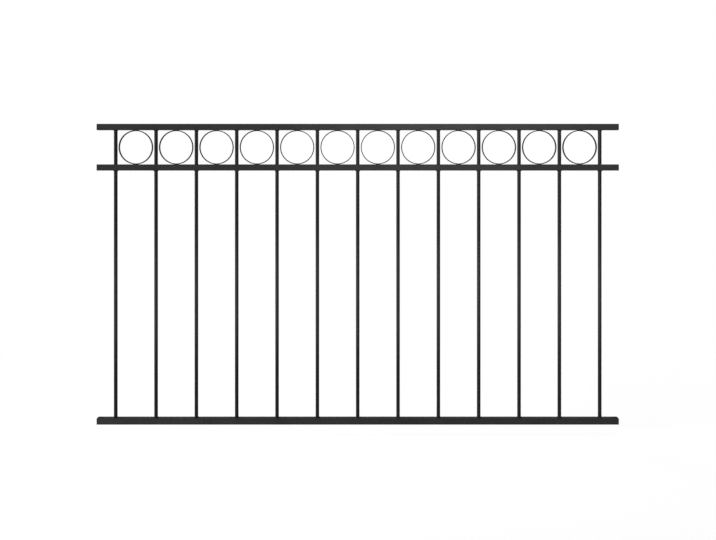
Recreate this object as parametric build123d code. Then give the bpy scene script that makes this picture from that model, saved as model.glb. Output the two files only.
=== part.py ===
from build123d import *
import os

# Steel fence panel: three square-tube rails, round tube pickets and a band of rolled rings, all welded.
# Millimetres. X runs along the rails, Y from front to back, Z up. The origin is in the middle of the
# bottom rail's underside.

# Pickets
picket_count = 13
picket_diameter = 12.7
picket_wall = 1.2

# Rings, rolled from flat strip
ring_strip_thickness = 3.0
ring_strip_depth = 9.5
ring_seat_clearance = 0.15  # between a ring and each rail that it is tacked to
ring_side_gap = 4.7  # between a ring and the picket beside it

# Rails
rail_wall = 1.5
rail_inside_bend_radius = 0.6
rail_room_at_picket = 3.15  # from a picket to the rail's inside face, in front and behind
rail_end_margin = 63.5  # from a rail's end to the axis of the first picket
picket_hole_clearance = 0.2  # all round a picket, where it passes through the second rail

# Slots near the rails' ends, for the screws of a post bracket
slot_length = 18.0
slot_width = 8.0
slot_end_distance = 5.0  # from the rail's end to the slot's near end

# Clear heights between the rails
ring_band_height = 120.0
picket_field_height = 868.0

# Worked out from the sizes above
ring_outer_diameter = ring_band_height - 2 * ring_seat_clearance
picket_pitch = ring_outer_diameter + 2 * ring_side_gap + picket_diameter
bay_count = picket_count - 1
rail_length = bay_count * picket_pitch + 2 * rail_end_margin
rail_side = picket_diameter + 2 * (rail_room_at_picket + rail_wall)
rail_outside_bend_radius = rail_inside_bend_radius + rail_wall

bottom_rail_z = rail_side / 2
second_rail_z = bottom_rail_z + rail_side + picket_field_height
top_rail_z = second_rail_z + rail_side + ring_band_height
ring_centre_z = (second_rail_z + top_rail_z) / 2

picket_low_z = bottom_rail_z + rail_side / 2
picket_high_z = top_rail_z - rail_side / 2
first_picket_x = -bay_count * picket_pitch / 2
picket_xs = [first_picket_x + index * picket_pitch for index in range(picket_count)]
ring_xs = [first_picket_x + (index + 0.5) * picket_pitch for index in range(bay_count)]


def square_tube():
    """A rail's tube along X, centred on the origin, with bent corners and open ends."""
    bore_side = rail_side - 2 * rail_wall
    outside = RectangleRounded(rail_side, rail_side, rail_outside_bend_radius)
    bore = RectangleRounded(bore_side, bore_side, rail_inside_bend_radius)
    return extrude(Plane.YZ * (outside - bore), rail_length / 2, both=True)


def slotted_rail():
    """A rail with a screw slot near each end of its upper wall, cut from the tube's axis upwards."""
    slot_x = rail_length / 2 - slot_end_distance - slot_length / 2
    slot = SlotOverall(slot_length, slot_width)
    cutters = [extrude(Pos(x, 0) * slot, rail_side) for x in (-slot_x, slot_x)]
    return square_tube() - cutters


def picket_holes():
    """Cutters for the holes that the pickets pass through, in both walls of a rail at the origin."""
    hole = Circle(picket_diameter / 2 + picket_hole_clearance)
    return [extrude(Pos(x, 0) * hole, rail_side, both=True) for x in picket_xs]


def picket(x):
    """A round tube from the bottom rail's top face to the top rail's underside."""
    section = Circle(picket_diameter / 2) - Circle(picket_diameter / 2 - picket_wall)
    return extrude(Pos(x, 0, picket_low_z) * section, picket_high_z - picket_low_z)


def ring(x):
    """A flat strip rolled the easy way into a ring, with its axis from front to back."""
    strip_middle_radius = (ring_outer_diameter - ring_strip_thickness) / 2
    section = Pos(strip_middle_radius, 0) * Rectangle(ring_strip_thickness, ring_strip_depth)
    return Pos(x, 0, ring_centre_z) * revolve(section, Axis.Y)


# The top rail is turned over, so that its slots face down and keep the rain out.
pieces = {
    "bottom_rail": Pos(0, 0, bottom_rail_z) * slotted_rail(),
    "second_rail": Pos(0, 0, second_rail_z) * (slotted_rail() - picket_holes()),
    "top_rail": Pos(0, 0, top_rail_z) * Rot(180, 0, 0) * slotted_rail(),
    "rings": Compound([ring(x) for x in ring_xs]),
}
for number, x in enumerate(picket_xs, start=1):
    pieces[f"picket_{number:02d}"] = picket(x)

os.makedirs("parts", exist_ok=True)
for name, piece in pieces.items():
    export_step(piece, f"parts/{name}.step")
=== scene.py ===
"""Steel fence panel with a ring band: smooth pickets and rings, weld beads, black coat, studio stage.

Laid out as an add-on. Each group of like pieces has an operator, and the sizes and colours that a user
would change are properties of the scene. Lengths are in metres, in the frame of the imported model.
"""

import math

import bpy
import numpy as np
from bpy.props import FloatProperty, FloatVectorProperty, PointerProperty
from bpy.types import NodeSocket, Operator, Panel, PropertyGroup
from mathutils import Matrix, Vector


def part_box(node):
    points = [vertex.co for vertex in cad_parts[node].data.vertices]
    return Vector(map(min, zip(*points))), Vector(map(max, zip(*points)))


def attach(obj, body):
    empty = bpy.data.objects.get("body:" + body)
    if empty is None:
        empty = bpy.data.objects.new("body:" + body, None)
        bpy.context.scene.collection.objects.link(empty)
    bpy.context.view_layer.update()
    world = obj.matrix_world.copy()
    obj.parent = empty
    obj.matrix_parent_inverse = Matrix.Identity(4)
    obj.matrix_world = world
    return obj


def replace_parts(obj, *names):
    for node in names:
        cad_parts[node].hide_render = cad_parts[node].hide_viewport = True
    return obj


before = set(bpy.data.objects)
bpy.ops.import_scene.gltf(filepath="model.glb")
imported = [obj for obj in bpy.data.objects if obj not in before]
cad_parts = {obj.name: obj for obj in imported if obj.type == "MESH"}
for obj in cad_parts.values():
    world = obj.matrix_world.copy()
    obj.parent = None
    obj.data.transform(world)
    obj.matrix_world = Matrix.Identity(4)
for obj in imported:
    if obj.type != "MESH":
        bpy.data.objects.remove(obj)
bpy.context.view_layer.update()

bl_info = {
    "name": "Ring-band fence panel",
    "version": (1, 0, 0),
    "blender": (4, 5, 0),
    "location": "3D View > Sidebar > Fence",
    "description": "Builds and finishes a welded steel fence panel around its packed model",
    "category": "Object",
}

FULL_TURN = 2 * math.pi
WHITE = (1.0, 1.0, 1.0, 1.0)

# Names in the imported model
BODY = "root"
RAIL_NODES = ("top_rail", "second_rail", "bottom_rail")
PICKET_NODES = sorted(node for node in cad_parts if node.startswith("picket_"))

# Rails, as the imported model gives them
RAIL_BOXES = {node: np.array(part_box(node)) for node in RAIL_NODES}
RAIL_SIDE = float(np.ptp(RAIL_BOXES["top_rail"][:, 2]))
RAIL_FRONT_Y = float(RAIL_BOXES["top_rail"][0, 1])
TOP_RAIL_UNDERSIDE = float(RAIL_BOXES["top_rail"][0, 2])
SECOND_RAIL_UNDERSIDE = float(RAIL_BOXES["second_rail"][0, 2])
SECOND_RAIL_TOP = float(RAIL_BOXES["second_rail"][1, 2])
BOTTOM_RAIL_TOP = float(RAIL_BOXES["bottom_rail"][1, 2])

# Pickets
PICKET_BOXES = np.array([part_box(node) for node in PICKET_NODES])
PICKET_XS = PICKET_BOXES[:, :, 0].mean(axis=1)
PICKET_RADIUS = float(np.ptp(PICKET_BOXES[0, :, 0]) / 2)
PICKET_LENGTH = float(np.ptp(PICKET_BOXES[0, :, 2]))
PICKET_MIDDLE_Z = float(PICKET_BOXES[0, :, 2].mean())
FIELD_MIDDLE_Z = (BOTTOM_RAIL_TOP + SECOND_RAIL_UNDERSIDE) / 2

# Rings, one in the middle of each bay
RING_BOX = np.array(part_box("rings"))
RING_XS = (PICKET_XS[:-1] + PICKET_XS[1:]) / 2
RING_RADIUS = float(RING_BOX[1, 0] - RING_XS[-1])
RING_DEPTH = float(np.ptp(RING_BOX[:, 1]))
RING_CENTRE_Z = float(RING_BOX[:, 2].mean())

# Points on the meshes
EDGE_STEPS = 5
PICKET_STEPS = 48
RING_STEPS = 180
BEAD_STEPS = 132
BEAD_SECTION_STEPS = 16
TACK_STEPS = 40
TACK_SECTION_STEPS = 16

# Section of a weld: 1 is flat between its legs, 2 is round
WELD_FULLNESS = 1.45

# How uneven a bead round a picket is: heights are shares of its leg, trail and drift are angles of a ripple
BEAD_SEED = 13
BEAD_RIPPLES = 26
BEAD_RIPPLE_HEIGHT = 0.05
BEAD_RIPPLE_TRAIL = 2.6
BEAD_RIPPLE_DRIFT = 1.6
BEAD_DRIFT_WAVES = 3
BEAD_WAVES = ((2, 0.07), (3, 0.06), (5, 0.05), (8, 0.03))
BEAD_LUMP_HEIGHT = 0.18
BEAD_LUMP_SHARPNESS = 6.0

# How uneven a tack is, in the same way
TACK_SEED = 12
TACK_RIPPLES = 7.5
TACK_RIPPLE_HEIGHT = 0.06
TACK_RIPPLE_TRAIL = 2.6
TACK_RIPPLE_DRIFT = 1.6
TACK_DRIFT_WAVES = 2
TACK_SIZE_RANGE = (0.85, 1.1)

# Noises of the coat: their detail, and the values between which their effects come or go
PEEL_DETAIL = 2.0
GRAIN_DETAIL = 1.0
PATCH_DETAIL = 3.0
PATCH_VALUES = (0.35, 0.7)
GRAIN_VALUES = (0.3, 0.55)
FLOW_VALUES = (0.35, 0.65)

# Shares of the deep colour that patches and grains take, and of the smooth roughness where grains have flowed
PATCH_DEPTH = 0.3
GRAIN_DEPTH = 0.25
FLOW_SHARE = 0.6

# Height of the grains, as a share of the peel's
GRAIN_HEIGHT = 0.2

# Where the coat is darker, and its share of the deep colour there: gathered over the welds, painted shade
# along the rails' bends and towards the pickets' ends, and darker along the strip's edges
WELD_DEPTH = 0.5
# Painted shade: darker bands along a rail's bent corners
BEND_SHADE_REACH = (0.0065, 0.0020)  # in from a rail's faces
BEND_SHADE_DEPTH = 0.2
# Painted shade: pickets darker towards the rails, lightest half-way between the two lower rails
PICKET_SHADE_REACH = (0.03, 0.28)  # from half-way between the two lower rails
PICKET_SHADE_DEPTH = 0.9
# Darker along the strip's front and back edges
STRIP_EDGE_REACH = 0.0012  # in from the strip's edges
STRIP_EDGE_DEPTH = 0.9

# Depths in a rail's wall, as shares of it, between which the painted shade of the tube's hollow, near-black
# bare steel, gives way to the coat
HOLLOW_SHADE_DEPTHS = (0.8, 0.5)

# Near floor: half sizes of an oval round the origin, and the shares of them between which shadows fade
FLOOR_OVAL = (2.4, 1.6, 1.0)
FLOOR_FADE = (0.4, 1.0)

# Width and height of the soft boxes, and the places that they face
FRONT_BOX_SIZE = (0.95, 0.15)
LOW_BOX_SIZE = (0.7, 0.4)
BACK_BOX_SIZE = (1.5, 1.2)
BAND_PLACE = (0.34, 0.0, RING_CENTRE_Z)
CORNER_PLACE = (-0.8, 0.0, 0.1)
MIDDLE_PLACE = (0.0, 0.0, PICKET_MIDDLE_Z)

# How wide the side light is, seen from the panel
SIDE_LIGHT_ANGLE = FULL_TURN / 12

# Sines of the angles above level between which the seen room goes from white walls to its ceiling
CEILING_RISE = (0.28, 0.7)

# Sockets of a Mix node that is set to colours
MIX_FIRST = 6
MIX_SECOND = 7
MIX_RESULT = 2


class FenceSizes(PropertyGroup):
    """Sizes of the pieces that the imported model's boxes don't give."""

    rail_wall: FloatProperty(
        name="Rail wall", description="Wall of a rail's tube", default=0.0015, unit="LENGTH"
    )
    picket_wall: FloatProperty(
        name="Picket wall", description="Wall of a picket's tube", default=0.0012, unit="LENGTH"
    )
    picket_rim: FloatProperty(
        name="Picket rim", description="Radius on a picket's cut ends", default=0.0003, unit="LENGTH"
    )
    strip_thickness: FloatProperty(
        name="Strip thickness", description="Thickness of the rings' strip", default=0.003, unit="LENGTH"
    )
    strip_edge: FloatProperty(
        name="Strip edge", description="Radius on the strip's edges", default=0.0005, unit="LENGTH"
    )
    bead_leg: FloatProperty(
        name="Bead leg", description="Leg of the weld bead round a picket", default=0.0023, unit="LENGTH"
    )
    tack_leg: FloatProperty(
        name="Tack leg", description="Leg of a ring's tack weld at its middle", default=0.0022, unit="LENGTH"
    )
    tack_length: FloatProperty(
        name="Tack length", description="Length of a ring's tack weld", default=0.015, unit="LENGTH"
    )
    weld_sink: FloatProperty(
        name="Weld sink", description="How far a weld's root is in the steel", default=0.0008, unit="LENGTH"
    )


class FenceFinish(PropertyGroup):
    """Colours and grain of the black coat, and the colours with which shade is painted on it."""

    coat_colour: FloatVectorProperty(
        name="Coat", description="Coat on open faces", subtype="COLOR", default=(0.027, 0.027, 0.0274)
    )
    # The deep coat darkens random patches and grains, the welds and the strip's edges, and as painted shade
    # the rails' bends and the pickets' ends
    deep_and_shade_colour: FloatVectorProperty(
        name="Deep coat",
        description="Coat where it has gathered",
        subtype="COLOR",
        default=(0.006, 0.006, 0.0062),
    )
    # Painted shade: bare steel inside the rails, near black as the shade in their hollows
    inside_shade_colour: FloatVectorProperty(
        name="Bare steel",
        description="Dark scale inside the rails",
        subtype="COLOR",
        default=(0.005, 0.005, 0.005),
    )
    grainy_roughness: FloatProperty(
        name="Grainy roughness",
        description="Roughness of the coat on open faces",
        default=0.6,
        subtype="FACTOR",
    )
    smooth_roughness: FloatProperty(
        name="Smooth roughness",
        description="Roughness where the coat has flowed",
        default=0.42,
        subtype="FACTOR",
    )
    specular: FloatProperty(
        name="Specular", description="Strength of the coat's reflection", default=0.09, subtype="FACTOR"
    )
    peel_size: FloatProperty(
        name="Peel size", description="Distance between the coat's waves", default=0.0024, unit="LENGTH"
    )
    grain_size: FloatProperty(
        name="Grain size", description="Distance between grains of powder", default=0.0005, unit="LENGTH"
    )
    patch_size: FloatProperty(
        name="Patch size", description="Size of the coat's uneven patches", default=0.11, unit="LENGTH"
    )
    relief: FloatProperty(
        name="Relief", description="Height of the coat's waves", default=0.00006, unit="LENGTH"
    )


class FenceStage(PropertyGroup):
    """Camera, light and floor."""

    camera_distance: FloatProperty(
        name="Camera distance", description="From the lens to the rails' front", default=2.45, unit="LENGTH"
    )
    camera_height: FloatProperty(
        name="Camera height",
        description="Lens above the bottom rail's underside",
        default=0.910,
        unit="LENGTH",
    )
    camera_side: FloatProperty(
        name="Camera side step", description="Lens to the right of the middle", default=0.001, unit="LENGTH"
    )
    lens: FloatProperty(name="Lens", description="Focal length in millimetres", default=35.19, unit="CAMERA")
    camera_shift: FloatProperty(
        name="Camera shift", description="Shift of the level frame, as a share of its width", default=-0.14677
    )
    floor_drop: FloatProperty(
        name="Floor drop", description="Gap under the hung panel", default=0.05, unit="LENGTH"
    )
    floor_size: FloatProperty(name="Floor size", description="Side of the floor", default=60.0, unit="LENGTH")
    floor_colour: FloatVectorProperty(
        name="Floor colour", description="Pale floor", subtype="COLOR", default=(0.6, 0.6, 0.6)
    )
    floor_shade: FloatVectorProperty(
        name="Floor shade",
        description="Part of the near floor that takes shadows",
        subtype="COLOR",
        default=(0.3, 0.3, 0.3),
    )
    floor_glow: FloatProperty(
        name="Floor glow",
        description="Part of the near floor that stays white",
        default=0.825,
        subtype="FACTOR",
    )
    room_strength: FloatProperty(name="Room light", description="Even light from all round", default=0.3)
    ceiling_shade: FloatProperty(
        name="Ceiling",
        description="How light the ceiling is beside the white walls",
        default=0.2,
        subtype="FACTOR",
    )
    side_strength: FloatProperty(name="Side light", description="Wide soft light from the left", default=5.0)
    side_direction: FloatVectorProperty(
        name="Side light's direction",
        description="Where the wide light comes from",
        subtype="DIRECTION",
        default=(-0.88, -0.46, 0.06),
    )
    front_power: FloatProperty(name="Front box", description="Soft box in front", default=4.0, unit="POWER")
    front_place: FloatVectorProperty(
        name="Front box's place",
        description="Middle of the front box",
        subtype="TRANSLATION",
        default=(0.34, -0.6, 1.12),
    )
    low_power: FloatProperty(
        name="Low box", description="Soft box low at the left", default=2.2, unit="POWER"
    )
    low_place: FloatVectorProperty(
        name="Low box's place",
        description="Middle of the low box",
        subtype="TRANSLATION",
        default=(-0.8, -0.95, 0.3),
    )
    back_power: FloatProperty(name="Back box", description="Soft box behind", default=90.0, unit="POWER")
    back_place: FloatVectorProperty(
        name="Back box's place",
        description="Middle of the back box",
        subtype="TRANSLATION",
        default=(-1.8, 3.2, 0.7),
    )


def rounded_section(width, height, radius):
    """A closed section: four quarter arcs of that radius, joined by straight sides, on a rectangle.

    Returns its points and its outward normals, as rows of two. A point is its corner's arc centre
    plus the radius times the unit vector at its angle, and that unit vector is the normal.
    """
    quarter = np.linspace(0, FULL_TURN / 4, EDGE_STEPS)
    starts = np.arange(4) * FULL_TURN / 4
    angles = (starts[:, None] + quarter).ravel()
    normals = np.stack([np.cos(angles), np.sin(angles)], axis=-1)
    middles = np.repeat(starts + FULL_TURN / 8, EDGE_STEPS)
    corner_signs = np.sign(np.stack([np.cos(middles), np.sin(middles)], axis=-1))
    arc_centres = corner_signs * (np.array([width, height]) / 2 - radius)
    return arc_centres + radius * normals, normals


def turned(outward, along, steps):
    """Carries a section round an axis, in the frame (side, up, along).

    At the angle t, side is outward times cos t, up is outward times sin t, and along stays. The last
    axis of outward and along is the angle, and it has one value where the section doesn't change.
    """
    angle = np.arange(steps) * FULL_TURN / steps
    return np.stack(np.broadcast_arrays(outward * np.cos(angle), outward * np.sin(angle), along), axis=-1)


def laid_back(points):
    """Tips points a quarter turn about X, so that an upright axis runs from back to front."""
    return points[..., [0, 2, 1]] * np.array([1, -1, 1])


def hoop_faces(rows, columns):
    """Faces of a grid of points that closes on itself both ways."""
    here = np.arange(rows * columns).reshape(rows, columns)
    ahead = np.roll(here, -1, axis=0)
    corners = [here, np.roll(here, -1, axis=1), np.roll(ahead, -1, axis=1), ahead]
    return np.stack(corners, axis=-1).reshape(-1, 4)


def sleeve_faces(rows, columns):
    """Faces of a grid of points that closes round its columns, and the caps of its first and last rows."""
    here = np.arange(rows * columns).reshape(rows, columns)
    beside = np.roll(here, -1, axis=1)
    sides = np.stack([here[:-1], beside[:-1], beside[1:], here[1:]], axis=-1).reshape(-1, 4)
    caps = np.stack([here[0][::-1], here[-1]])
    return sides, caps


def repeated(faces, copies, points_each):
    """The same faces for several copies of a shape whose points follow each other."""
    starts = np.arange(copies)[:, None, None] * points_each
    return (starts + faces).reshape(-1, faces.shape[-1])


def picket_tube():
    """A picket on the Z axis: its wall's section, with rounded rims, carried round. Points and normals."""
    sizes = bpy.context.scene.fence_sizes
    section, normals = rounded_section(sizes.picket_wall, PICKET_LENGTH, sizes.picket_rim)
    outward = section[:, :1] + PICKET_RADIUS - sizes.picket_wall / 2
    points = turned(outward, section[:, 1:] + PICKET_MIDDLE_Z, PICKET_STEPS)
    return points, turned(normals[:, :1], normals[:, 1:], PICKET_STEPS)


def ring_row():
    """All rings: the strip's section, with rounded edges, carried round each axis. Points and normals."""
    sizes = bpy.context.scene.fence_sizes
    section, normals = rounded_section(sizes.strip_thickness, RING_DEPTH, sizes.strip_edge)
    outward = section[:, :1] + RING_RADIUS - sizes.strip_thickness / 2
    ring = laid_back(turned(outward, section[:, 1:], RING_STEPS))
    ring_normals = laid_back(turned(normals[:, :1], normals[:, 1:], RING_STEPS))
    centres = np.stack([RING_XS, np.zeros_like(RING_XS), np.full_like(RING_XS, RING_CENTRE_Z)], axis=-1)
    rings = centres[:, None, None, :] + ring
    return rings, np.broadcast_to(ring_normals, rings.shape)


def weld_section(angle, leg, root):
    """Section of a fillet weld about its corner: how far along the rail's face, and how far off it.

    It is a superellipse: both, as shares of their size and raised to the weld's fullness, add up to 1.
    Their size is the leg outside the steel, and the root inside it.
    """
    shares = (np.sign(wave) * np.abs(wave) ** (2 / WELD_FULLNESS) for wave in (np.cos(angle), np.sin(angle)))
    return [share * np.where(share > 0, leg, root) for share in shares]


def ripples(phase):
    """Ripples like a row of coins, round on top and sharp between: twice a cosine's size, less 1."""
    return 2 * np.abs(np.cos(phase / 2)) - 1


def picket_beads(face_z, side, draw):
    """Weld beads round all pickets on one face, above it (side 1) or below it (side -1).

    A bead is a weld's section carried round the picket. Its leg is the bead's own, plus ripples that
    trail back at the bead's sides and drift apart, slow waves of the hand, and a lump where it ends.
    """
    sizes = bpy.context.scene.fence_sizes
    count = len(PICKET_XS)
    turn = np.arange(BEAD_STEPS) * FULL_TURN / BEAD_STEPS
    section_angle = (np.arange(BEAD_SECTION_STEPS) * FULL_TURN / BEAD_SECTION_STEPS)[:, None]
    start = draw.uniform(0, FULL_TURN, (count, 1, 1))
    trail = BEAD_RIPPLE_TRAIL * np.cos(section_angle - FULL_TURN / 8)
    drift = BEAD_RIPPLE_DRIFT * np.cos(BEAD_DRIFT_WAVES * turn + start)
    swell = 1 + BEAD_RIPPLE_HEIGHT * ripples(BEAD_RIPPLES * (turn - start) + trail + drift)
    for waves_round, height in BEAD_WAVES:
        swell = swell + height * np.cos(waves_round * turn + draw.uniform(0, FULL_TURN, (count, 1, 1)))
    swell = swell + BEAD_LUMP_HEIGHT * np.exp(BEAD_LUMP_SHARPNESS * (np.cos(turn - start) - 1))
    across, off = weld_section(section_angle, sizes.bead_leg * swell, sizes.weld_sink)
    places = np.stack([PICKET_XS, np.zeros(count), np.zeros(count)], axis=-1)
    points = turned(PICKET_RADIUS + across, face_z + side * off, BEAD_STEPS) + places[:, None, None, :]
    faces = hoop_faces(BEAD_SECTION_STEPS, BEAD_STEPS)[:, ::side]
    return points, repeated(faces, count, BEAD_SECTION_STEPS * BEAD_STEPS)


def ring_tacks(face_z, side, draw):
    """Tack welds between the rings and one rail's face, on the strip's front and back edges.

    A tack is a weld's section carried along X, in the corner of the strip's edge and the rail's face.
    Its leg and root fall to nothing at both ends as half an ellipse does, and ripples run along it.
    """
    sizes = bpy.context.scene.fence_sizes
    xs, ends = (grid.reshape(-1, 1, 1) for grid in np.meshgrid(RING_XS, [-1, 1], indexing="ij"))
    count = len(xs)
    sweep = np.linspace(-FULL_TURN / 4, FULL_TURN / 4, TACK_STEPS + 2)[1:-1, None]
    around = ends * side * np.arange(TACK_SECTION_STEPS) * FULL_TURN / TACK_SECTION_STEPS
    taper = np.cos(sweep)
    phase = draw.uniform(0, FULL_TURN, (count, 1, 1))
    size = draw.uniform(*TACK_SIZE_RANGE, (count, 1, 1))
    trail = TACK_RIPPLE_TRAIL * np.cos(around - FULL_TURN / 8)
    drift = TACK_RIPPLE_DRIFT * np.cos(TACK_DRIFT_WAVES * sweep + phase)
    run = TACK_RIPPLES * FULL_TURN / 2 * np.sin(sweep)
    swell = size + TACK_RIPPLE_HEIGHT * ripples(run + phase + trail + drift)
    across, off = weld_section(around, sizes.tack_leg * swell * taper, sizes.weld_sink * taper)
    x = xs + np.sin(sweep) * sizes.tack_length / 2
    y = ends * (RING_DEPTH / 2 + across)
    z = face_z + side * off
    points = np.stack(np.broadcast_arrays(x, y, z), axis=-1)
    points_each = TACK_STEPS * TACK_SECTION_STEPS
    sleeve = sleeve_faces(TACK_STEPS, TACK_SECTION_STEPS)
    sides, caps = (repeated(faces, count, points_each) for faces in sleeve)
    return points, sides.tolist() + caps.tolist()


def add_piece(name, points, faces, material, normals=None):
    """Makes a smooth mesh of the points and faces, and lets it ride on the panel with the coat's slot."""
    mesh = bpy.data.meshes.new(name)
    mesh.from_pydata(points.reshape(-1, 3), [], faces)
    mesh.shade_smooth()
    if normals is not None:
        mesh.normals_split_custom_set_from_vertices(normals.reshape(-1, 3))
    mesh.materials.append(material)
    piece = bpy.data.objects.new(name, mesh)
    bpy.context.scene.collection.objects.link(piece)
    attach(piece, BODY)
    return piece


def feed(tree, socket, value):
    """Links an output to a socket, or sets the socket's own value."""
    if isinstance(value, NodeSocket):
        tree.links.new(value, socket)
    else:
        socket.default_value = value


def add_node(tree, kind, settings=None, **inputs):
    """Adds a node, sets its settings, and links or sets its inputs. An input's name has _ for a space."""
    made = tree.nodes.new(kind)
    for name, value in (settings or {}).items():
        setattr(made, name, value)
    for name, value in inputs.items():
        feed(tree, made.inputs[name.replace("_", " ")], value)
    return made


def calculate(tree, operation, *values):
    """A Math node of that operation on one, two or three values."""
    made = add_node(tree, "ShaderNodeMath", {"operation": operation})
    for socket, value in zip(made.inputs, values):
        feed(tree, socket, value)
    return made.outputs[0]


def calculate_vector(tree, operation, *values):
    """A Vector Math node of that operation. Returns its outputs."""
    made = add_node(tree, "ShaderNodeVectorMath", {"operation": operation})
    for socket, value in zip(made.inputs, values):
        feed(tree, socket, value)
    return made.outputs


def blend_colours(tree, share, first, second):
    """A Mix node from the first colour to the second."""
    made = add_node(tree, "ShaderNodeMix", {"data_type": "RGBA"})
    feed(tree, made.inputs[0], share)
    feed(tree, made.inputs[MIX_FIRST], first)
    feed(tree, made.inputs[MIX_SECOND], second)
    return made.outputs[MIX_RESULT]


def blend_shaders(tree, share, first, second):
    """A Mix Shader node from the first shader to the second."""
    made = add_node(tree, "ShaderNodeMixShader", Fac=share)
    feed(tree, made.inputs[1], first.outputs[0])
    feed(tree, made.inputs[2], second.outputs[0])
    return made


def ramp(tree, value, low, high, low_result, high_result):
    """A smooth step from one result to another as the value goes from low to high."""
    made = add_node(
        tree,
        "ShaderNodeMapRange",
        {"interpolation_type": "SMOOTHSTEP"},
        Value=value,
        From_Min=low,
        From_Max=high,
        To_Min=low_result,
        To_Max=high_result,
    )
    return made.outputs[0]


def noise(tree, point, size, detail):
    """Noise whose features are about that size apart."""
    spread = add_node(tree, "ShaderNodeCombineXYZ", X=size, Y=size, Z=size).outputs[0]
    scaled = calculate_vector(tree, "DIVIDE", point, spread)[0]
    return add_node(tree, "ShaderNodeTexNoise", Vector=scaled, Scale=1.0, Detail=detail).outputs[0]


def coat_group():
    """The powder coat, as a node group: waves of its peel, grains, patches, darker places, in part painted
    shade, and painted shade inside the rails.
    """
    name = "powder_coat"
    if name in bpy.data.node_groups:
        return bpy.data.node_groups[name]
    group = bpy.data.node_groups.new(name, "ShaderNodeTree")
    sockets = group.interface
    sockets.new_socket("Vector", in_out="INPUT", socket_type="NodeSocketVector")
    for label in ("Peel Size", "Grain Size", "Patch Size", "Grainy Roughness", "Smooth Roughness"):
        sockets.new_socket(label, in_out="INPUT", socket_type="NodeSocketFloat")
    # Masks and colours: a darker coat, gathered on the welds and painted shade on the rails and pickets, and
    # the near black of painted shade inside the rails
    for label in ("Gathered", "Bare"):
        sockets.new_socket(label, in_out="INPUT", socket_type="NodeSocketFloat")
    for label in ("Coat Colour", "Deep Colour", "Bare Colour"):
        sockets.new_socket(label, in_out="INPUT", socket_type="NodeSocketColor")
    sockets.new_socket("Colour", in_out="OUTPUT", socket_type="NodeSocketColor")
    sockets.new_socket("Roughness", in_out="OUTPUT", socket_type="NodeSocketFloat")
    sockets.new_socket("Height", in_out="OUTPUT", socket_type="NodeSocketFloat")

    given = group.nodes.new("NodeGroupInput").outputs
    peel = noise(group, given["Vector"], given["Peel Size"], PEEL_DETAIL)
    grain = noise(group, given["Vector"], given["Grain Size"], GRAIN_DETAIL)
    patches = noise(group, given["Vector"], given["Patch Size"], PATCH_DETAIL)
    deep_patches = ramp(group, patches, *PATCH_VALUES, 0.0, PATCH_DEPTH)
    deep_grains = ramp(group, grain, *GRAIN_VALUES, GRAIN_DEPTH, 0.0)
    unevenness = calculate(group, "ADD", deep_patches, deep_grains)
    # Deep where patches and grains fall at random, and where the darker mask is, which is in part painted
    # shade
    deep_share = calculate(group, "MAXIMUM", unevenness, given["Gathered"])
    flowed = ramp(group, grain, *FLOW_VALUES, FLOW_SHARE, 0.0)
    smooth_share = calculate(group, "MAXIMUM", flowed, given["Gathered"])
    smoothing = calculate(group, "SUBTRACT", given["Smooth Roughness"], given["Grainy Roughness"])

    result = group.nodes.new("NodeGroupOutput")
    coated = blend_colours(group, deep_share, given["Coat Colour"], given["Deep Colour"])
    # Painted shade: near black inside the rails
    colour = blend_colours(group, given["Bare"], coated, given["Bare Colour"])
    roughness = calculate(group, "MULTIPLY_ADD", smooth_share, smoothing, given["Grainy Roughness"])
    feed(group, result.inputs["Colour"], colour)
    feed(group, result.inputs["Roughness"], roughness)
    feed(group, result.inputs["Height"], calculate(group, "MULTIPLY_ADD", grain, GRAIN_HEIGHT, peel))
    return group


def nowhere(tree, point):
    """Mask of what a piece doesn't have."""
    return 0.0


def weld_gathering(tree, point):
    """Mask of a coat that has flowed over a weld."""
    return WELD_DEPTH


def from_axis(tree, point, middle_z):
    """How far a point is from a rail's axis in depth and in height."""
    parts = add_node(tree, "ShaderNodeSeparateXYZ", Vector=point).outputs
    depth = calculate(tree, "ABSOLUTE", parts["Y"])
    rise = calculate(tree, "ABSOLUTE", calculate(tree, "SUBTRACT", parts["Z"], middle_z))
    return depth, rise


def bend_shade(middle_z):
    """Mask of painted shade along a square tube's bent corners, far from the axis both ways."""

    def mask(tree, point):
        nearer = calculate(tree, "MINIMUM", *from_axis(tree, point, middle_z))
        start, end = (RAIL_SIDE / 2 - reach for reach in BEND_SHADE_REACH)
        return ramp(tree, nearer, start, end, 0.0, BEND_SHADE_DEPTH)

    return mask


def tube_hollow_shade(middle_z):
    """Mask of painted shade in a square tube's hollow, as near-black bare steel: nearer the axis than the
    wall's middle.
    """
    wall = bpy.context.scene.fence_sizes.rail_wall

    def mask(tree, point):
        farther = calculate(tree, "MAXIMUM", *from_axis(tree, point, middle_z))
        start, end = (RAIL_SIDE / 2 - depth * wall for depth in HOLLOW_SHADE_DEPTHS)
        return ramp(tree, farther, start, end, 1.0, 0.0)

    return mask


def picket_end_shade(tree, point):
    """Mask of painted shade on a picket, darker towards the rails than half-way between the two lower ones.
    """
    height = add_node(tree, "ShaderNodeSeparateXYZ", Vector=point).outputs["Z"]
    rise = calculate(tree, "ABSOLUTE", calculate(tree, "SUBTRACT", height, FIELD_MIDDLE_Z))
    return ramp(tree, rise, *PICKET_SHADE_REACH, 0.0, PICKET_SHADE_DEPTH)


def strip_edge_darkening(tree, point):
    """Mask of a darker coat along the strip's front and back edges."""
    parts = add_node(tree, "ShaderNodeSeparateXYZ", Vector=point).outputs
    depth = calculate(tree, "ABSOLUTE", parts["Y"])
    return ramp(tree, depth, RING_DEPTH / 2 - STRIP_EDGE_REACH, RING_DEPTH / 2, 0.0, STRIP_EDGE_DEPTH)


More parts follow.
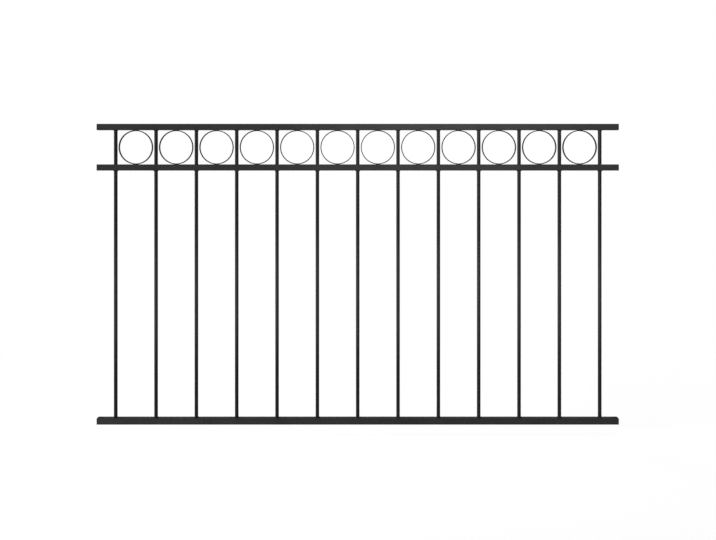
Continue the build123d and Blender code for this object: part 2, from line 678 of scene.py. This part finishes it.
def coat_material(name, gathering_and_shade, hollow_shade=nowhere):
    """Black powder coat on steel.

    Its two functions make the masks of a darker coat, gathered on the welds and painted shade on the rails'
    bends and the pickets' ends, and of painted shade inside the rails, as near-black bare steel.
    """
    if name in bpy.data.materials:
        return bpy.data.materials[name]
    finish = bpy.context.scene.fence_finish
    material = bpy.data.materials.new(name)
    material.use_nodes = True
    tree = material.node_tree
    tree.nodes.clear()
    point = add_node(tree, "ShaderNodeTexCoord").outputs["Object"]
    coat = add_node(
        tree,
        "ShaderNodeGroup",
        {"node_tree": coat_group()},
        Vector=point,
        Peel_Size=finish.peel_size,
        Grain_Size=finish.grain_size,
        Patch_Size=finish.patch_size,
        Grainy_Roughness=finish.grainy_roughness,
        Smooth_Roughness=finish.smooth_roughness,
        # Masks of a darker coat, in part painted shade, and of painted shade inside the rails
        Gathered=gathering_and_shade(tree, point),
        Bare=hollow_shade(tree, point),
        Coat_Colour=(*finish.coat_colour, 1.0),
        Deep_Colour=(*finish.deep_and_shade_colour, 1.0),
        Bare_Colour=(*finish.inside_shade_colour, 1.0),
    ).outputs
    bump = add_node(tree, "ShaderNodeBump", Strength=1.0, Distance=finish.relief, Height=coat["Height"])
    shader = add_node(
        tree,
        "ShaderNodeBsdfPrincipled",
        Base_Color=coat["Colour"],
        Roughness=coat["Roughness"],
        Normal=bump.outputs["Normal"],
        Specular_IOR_Level=finish.specular,
    )
    add_node(tree, "ShaderNodeOutputMaterial", Surface=shader.outputs[0])
    return material


class FENCE_OT_rails(Operator):
    """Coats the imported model's three square-tube rails"""

    bl_idname = "fence.rails"
    bl_label = "Coat the rails"

    def execute(self, context):
        for node in RAIL_NODES:
            middle_z = float(RAIL_BOXES[node][:, 2].mean())
            # Painted shade along the rails' bends and in their hollows
            coat = coat_material(f"coat_{node}", bend_shade(middle_z), tube_hollow_shade(middle_z))
            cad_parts[node].material_slots[0].material = coat
        return {"FINISHED"}


class FENCE_OT_pickets(Operator):
    """Makes the round tube pickets"""

    bl_idname = "fence.pickets"
    bl_label = "Make the pickets"

    def execute(self, context):
        # Painted shade towards the pickets' ends
        coat = coat_material("coat_pickets", picket_end_shade)
        tube, normals = picket_tube()
        faces = hoop_faces(*tube.shape[:2])
        for node, x in zip(PICKET_NODES, PICKET_XS):
            picket = add_piece(f"{node}_tube", tube + np.array([x, 0, 0]), faces, coat, normals)
            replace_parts(picket, node)
        return {"FINISHED"}


class FENCE_OT_rings(Operator):
    """Makes the rings rolled from flat strip"""

    bl_idname = "fence.rings"
    bl_label = "Make the rings"

    def execute(self, context):
        coat = coat_material("coat_rings", strip_edge_darkening)
        rings, normals = ring_row()
        copies, rows, columns = rings.shape[:3]
        faces = repeated(hoop_faces(rows, columns), copies, rows * columns)
        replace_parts(add_piece("rolled_rings", rings, faces, coat, normals), "rings")
        return {"FINISHED"}


class FENCE_OT_picket_welds(Operator):
    """Runs a rippled bead round each picket where it meets a rail"""

    bl_idname = "fence.picket_welds"
    bl_label = "Weld the pickets"

    def execute(self, context):
        coat = coat_material("coat_welds", weld_gathering)
        draw = np.random.default_rng(BEAD_SEED)
        add_piece("top_rail_welds", *picket_beads(TOP_RAIL_UNDERSIDE, -1, draw), coat)
        add_piece("second_rail_welds", *picket_beads(SECOND_RAIL_UNDERSIDE, -1, draw), coat)
        add_piece("bottom_rail_welds", *picket_beads(BOTTOM_RAIL_TOP, 1, draw), coat)
        return {"FINISHED"}


class FENCE_OT_ring_tacks(Operator):
    """Tacks each ring to the rails above and below it, in front and behind"""

    bl_idname = "fence.ring_tacks"
    bl_label = "Tack the rings"

    def execute(self, context):
        coat = coat_material("coat_welds", weld_gathering)
        draw = np.random.default_rng(TACK_SEED)
        add_piece("top_rail_tacks", *ring_tacks(TOP_RAIL_UNDERSIDE, -1, draw), coat)
        add_piece("second_rail_tacks", *ring_tacks(SECOND_RAIL_TOP, 1, draw), coat)
        return {"FINISHED"}


def seen_rays(tree):
    """1 for rays that show the background: from the camera, and mirrored or passed on by the object."""
    path = add_node(tree, "ShaderNodeLightPath").outputs
    mirrored = calculate(tree, "MAXIMUM", path["Is Glossy Ray"], path["Is Transmission Ray"])
    return calculate(tree, "MAXIMUM", path["Is Camera Ray"], mirrored)


def floor_material(stage):
    """Pale floor that looks white far off, and under the panel keeps a part of its shadow."""
    material = bpy.data.materials.new("floor")
    material.use_nodes = True
    tree = material.node_tree
    tree.nodes.clear()
    pale = add_node(tree, "ShaderNodeBsdfDiffuse", Color=(*stage.floor_colour, 1.0))
    shade = add_node(tree, "ShaderNodeBsdfDiffuse", Color=(*stage.floor_shade, 1.0))
    glow = add_node(tree, "ShaderNodeEmission", Color=WHITE, Strength=stage.floor_glow)
    shadowed = add_node(tree, "ShaderNodeAddShader")
    feed(tree, shadowed.inputs[0], shade.outputs[0])
    feed(tree, shadowed.inputs[1], glow.outputs[0])
    white = add_node(tree, "ShaderNodeEmission", Color=WHITE, Strength=1.0)
    point = add_node(tree, "ShaderNodeTexCoord").outputs["Object"]
    oval = calculate_vector(tree, "DIVIDE", point, FLOOR_OVAL)[0]
    distance = calculate_vector(tree, "LENGTH", oval)["Value"]
    whitening = ramp(tree, distance, *FLOOR_FADE, 0.0, 1.0)
    seen = blend_shaders(tree, whitening, shadowed, white)
    choice = blend_shaders(tree, seen_rays(tree), pale, seen)
    add_node(tree, "ShaderNodeOutputMaterial", Surface=choice.outputs[0])
    return material


def lay_floor(stage):
    """A flat square floor, a little below the hung panel."""
    reach = stage.floor_size / 2
    corners = np.array([[-reach, -reach], [reach, -reach], [reach, reach], [-reach, reach]])
    heights = np.full((len(corners), 1), -stage.floor_drop)
    mesh = bpy.data.meshes.new("floor")
    mesh.from_pydata(np.hstack([corners, heights]), [], [[0, 1, 2, 3]])
    mesh.materials.append(floor_material(stage))
    floor = bpy.data.objects.new("floor", mesh)
    bpy.context.scene.collection.objects.link(floor)


def light_room(stage):
    """Even light all round, wide light from the left, and soft boxes before the band, low down and behind."""
    world = bpy.data.worlds.new("room")
    world.use_nodes = True
    tree = world.node_tree
    tree.nodes.clear()
    room = add_node(tree, "ShaderNodeBackground", Color=WHITE, Strength=stage.room_strength)
    direction = add_node(tree, "ShaderNodeTexCoord").outputs["Generated"]
    rise = add_node(tree, "ShaderNodeSeparateXYZ", Vector=direction).outputs["Z"]
    shade = ramp(tree, rise, *CEILING_RISE, 1.0, stage.ceiling_shade)
    walls = add_node(tree, "ShaderNodeBackground", Color=WHITE, Strength=shade)
    choice = blend_shaders(tree, seen_rays(tree), room, walls)
    add_node(tree, "ShaderNodeOutputWorld", Surface=choice.outputs[0])
    bpy.context.scene.world = world

    add_soft_sun("side_light", stage.side_direction, stage.side_strength)
    add_soft_box("front_box", stage.front_place, BAND_PLACE, FRONT_BOX_SIZE, stage.front_power)
    add_soft_box("low_box", stage.low_place, CORNER_PLACE, LOW_BOX_SIZE, stage.low_power)
    add_soft_box("back_box", stage.back_place, MIDDLE_PLACE, BACK_BOX_SIZE, stage.back_power, mirrored=False)


def add_soft_box(name, place, target, size, power, mirrored=True):
    """An oblong area light at a place, facing a target, and out of the camera's sight."""
    light = bpy.data.lights.new(name, "AREA")
    light.shape = "RECTANGLE"
    light.size, light.size_y = size
    light.energy = power
    lamp = bpy.data.objects.new(name, light)
    lamp.location = place
    lamp.rotation_euler = (Vector(target) - Vector(place)).to_track_quat("-Z", "Y").to_euler()
    lamp.visible_camera = False
    lamp.visible_glossy = mirrored
    bpy.context.scene.collection.objects.link(lamp)


def add_soft_sun(name, direction, strength):
    """Even light from one side, as soft as a large window's, and out of the camera's sight."""
    light = bpy.data.lights.new(name, "SUN")
    light.angle = SIDE_LIGHT_ANGLE
    light.energy = strength
    lamp = bpy.data.objects.new(name, light)
    lamp.rotation_euler = Vector(direction).to_track_quat("Z", "Y").to_euler()
    lamp.visible_camera = False
    bpy.context.scene.collection.objects.link(lamp)


def place_camera(stage):
    """A level camera that looks along +Y, with its frame shifted so that the panel sits in the picture."""
    view = bpy.data.cameras.new("camera")
    view.lens = stage.lens
    view.shift_y = stage.camera_shift
    camera = bpy.data.objects.new("camera", view)
    camera.location = (stage.camera_side, RAIL_FRONT_Y - stage.camera_distance, stage.camera_height)
    camera.rotation_euler = (FULL_TURN / 4, 0.0, 0.0)
    bpy.context.scene.collection.objects.link(camera)
    bpy.context.scene.camera = camera


class FENCE_OT_stage(Operator):
    """Sets the pale floor, the soft light and the level camera"""

    bl_idname = "fence.stage"
    bl_label = "Set the stage"

    def execute(self, context):
        stage = context.scene.fence_stage
        lay_floor(stage)
        light_room(stage)
        place_camera(stage)
        context.scene.view_settings.view_transform = "Standard"
        return {"FINISHED"}


OPERATORS = (
    FENCE_OT_rails,
    FENCE_OT_pickets,
    FENCE_OT_rings,
    FENCE_OT_picket_welds,
    FENCE_OT_ring_tacks,
    FENCE_OT_stage,
)
SETTINGS = {"fence_sizes": FenceSizes, "fence_finish": FenceFinish, "fence_stage": FenceStage}


class FENCE_PT_panel(Panel):
    """Lists the operators and the settings"""

    bl_idname = "FENCE_PT_panel"
    bl_label = "Ring-band fence panel"
    bl_space_type = "VIEW_3D"
    bl_region_type = "UI"
    bl_category = "Fence"

    def draw(self, context):
        for operator in OPERATORS:
            self.layout.operator(operator.bl_idname)
        for name, settings in SETTINGS.items():
            box = self.layout.box()
            group = getattr(context.scene, name)
            for setting in settings.__annotations__:
                box.prop(group, setting)


def register():
    for name, group in SETTINGS.items():
        bpy.utils.register_class(group)
        setattr(bpy.types.Scene, name, PointerProperty(type=group))
    for operator in OPERATORS:
        bpy.utils.register_class(operator)
    bpy.utils.register_class(FENCE_PT_panel)


def unregister():
    bpy.utils.unregister_class(FENCE_PT_panel)
    for operator in reversed(OPERATORS):
        bpy.utils.unregister_class(operator)
    for name, group in reversed(SETTINGS.items()):
        delattr(bpy.types.Scene, name)
        bpy.utils.unregister_class(group)


def main():
    register()
    bpy.ops.fence.rails()
    bpy.ops.fence.pickets()
    bpy.ops.fence.rings()
    bpy.ops.fence.picket_welds()
    bpy.ops.fence.ring_tacks()
    bpy.ops.fence.stage()


if __name__ == "__main__":
    main()
